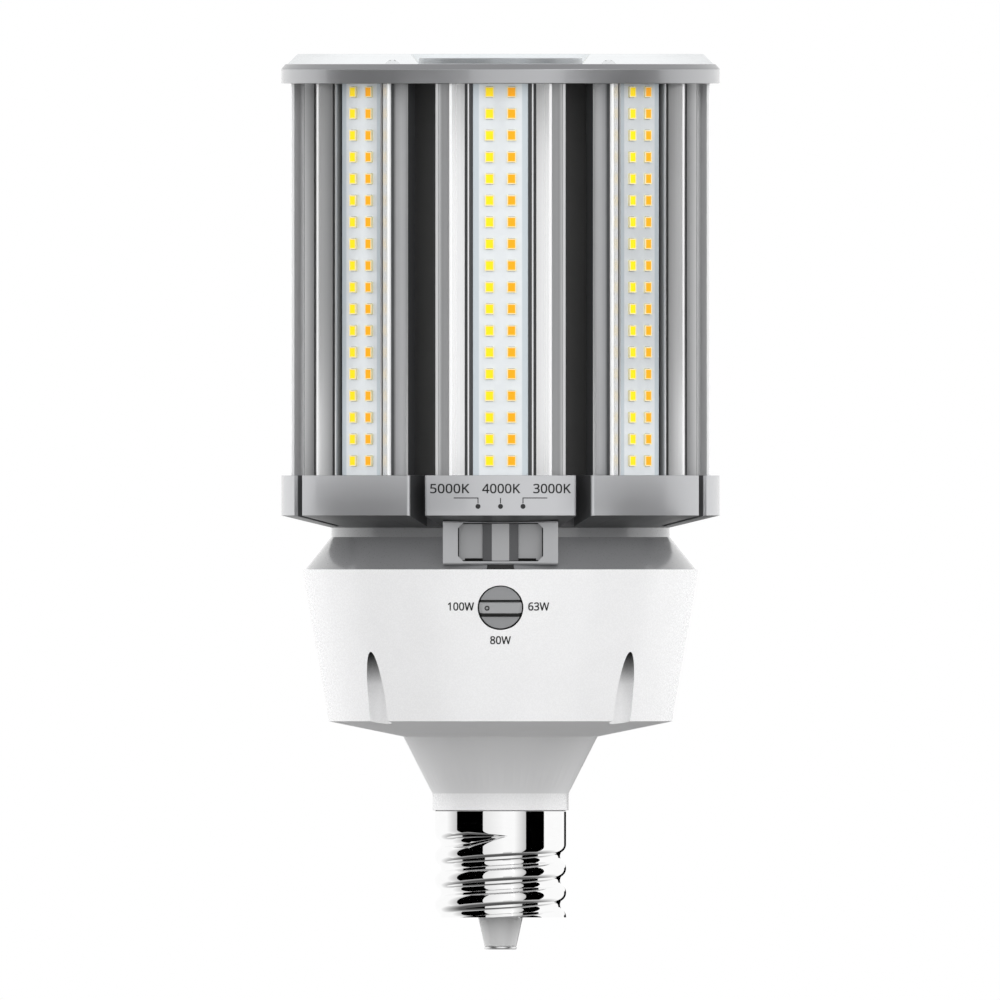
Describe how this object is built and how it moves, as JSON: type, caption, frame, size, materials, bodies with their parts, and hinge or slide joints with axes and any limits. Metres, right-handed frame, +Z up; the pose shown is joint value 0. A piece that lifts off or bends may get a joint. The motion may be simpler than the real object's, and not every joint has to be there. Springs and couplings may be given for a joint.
{
  "type": "led hid replacement bulb",
  "caption": "Upright LED lamp with a mogul screw base, a white driver housing with a wattage dial, a colour slider, and an aluminium body with LED strips all round.",
  "frame": {"origin": "centre of the contact tip's bottom face, on the lamp's axis", "axes": "+Z up the lamp's axis from the screw base to the top lens, -Y out of the side with the wattage dial and the colour slider, +X to the right of that side"},
  "size_m": [0.1302, 0.1302, 0.2658],
  "materials": {
    "nickel_plate": "polished",
    "base_insulator": "satin",
    "contact_plate": "satin",
    "white_housing": "fine moulded grain",
    "collar_grey": "fine moulded grain",
    "selector_grey": "smooth satin",
    "switch_black": "matte",
    "grey_paint": "satin powder coat",
    "bare_aluminium": "extruded, satin",
    "black_core": "matte black",
    "board_white": "white solder mask",
    "led_cool": "silicone phosphor",
    "led_warm": "silicone phosphor",
    "screw_steel": "satin",
    "clear_lens": "clear, polished",
    "driver_board": "green solder mask",
    "transformer_tape": "yellow tape",
    "capacitor_sleeve": "shrink sleeve",
    "choke_wire": "enamelled wire"
  },
  "bodies": {
    "lamp": {"screw_shell": "nickel_plate", "base_insulator": "base_insulator", "centre_contact": "contact_plate", "driver_housing": "white_housing", "wattage_switch": "switch_black", "housing_screws": "screw_steel", "switch_collar": "collar_grey", "cct_switch": "switch_black", "lower_ring": "grey_paint", "collar_screws": "screw_steel", "core_tube": "black_core", "heat_sink_1": "bare_aluminium", "led_board_1": "board_white", "cool_leds_1": "led_cool", "warm_leds_1": "led_warm", "heat_sink_2": "bare_aluminium", "led_board_2": "board_white", "cool_leds_2": "led_cool", "warm_leds_2": "led_warm", "heat_sink_3": "bare_aluminium", "led_board_3": "board_white", "cool_leds_3": "led_cool", "warm_leds_3": "led_warm", "heat_sink_4": "bare_aluminium", "led_board_4": "board_white", "cool_leds_4": "led_cool", "warm_leds_4": "led_warm", "heat_sink_5": "bare_aluminium", "led_board_5": "board_white", "cool_leds_5": "led_cool", "warm_leds_5": "led_warm", "heat_sink_6": "bare_aluminium", "led_board_6": "board_white", "cool_leds_6": "led_cool", "warm_leds_6": "led_warm", "heat_sink_7": "bare_aluminium", "led_board_7": "board_white", "cool_leds_7": "led_cool", "warm_leds_7": "led_warm", "heat_sink_8": "bare_aluminium", "led_board_8": "board_white", "cool_leds_8": "led_cool", "warm_leds_8": "led_warm", "top_cap": "grey_paint", "top_led_board": "board_white", "top_cool_leds": "led_cool", "top_warm_leds": "led_warm", "top_lens": "clear_lens", "top_screws": "screw_steel", "driver_board": "driver_board", "transformer": "transformer_tape", "capacitors": "capacitor_sleeve", "choke": "choke_wire"},
    "dial": {"wattage_dial": "selector_grey"},
    "slider": {"cct_slider": "selector_grey"}
  },
  "joints": [
    {"name": "wattage", "type": "hinge", "parent": "lamp", "child": "dial", "pos_m": [0, -0.0568, 0.1014], "axis": [0, -0.985, -0.1725], "range_deg": [0, 180]},
    {"name": "colour", "type": "slide", "parent": "lamp", "child": "slider", "axis": [1, 0, 0], "range_m": [-0.00668, 0.00668]}
  ]
}
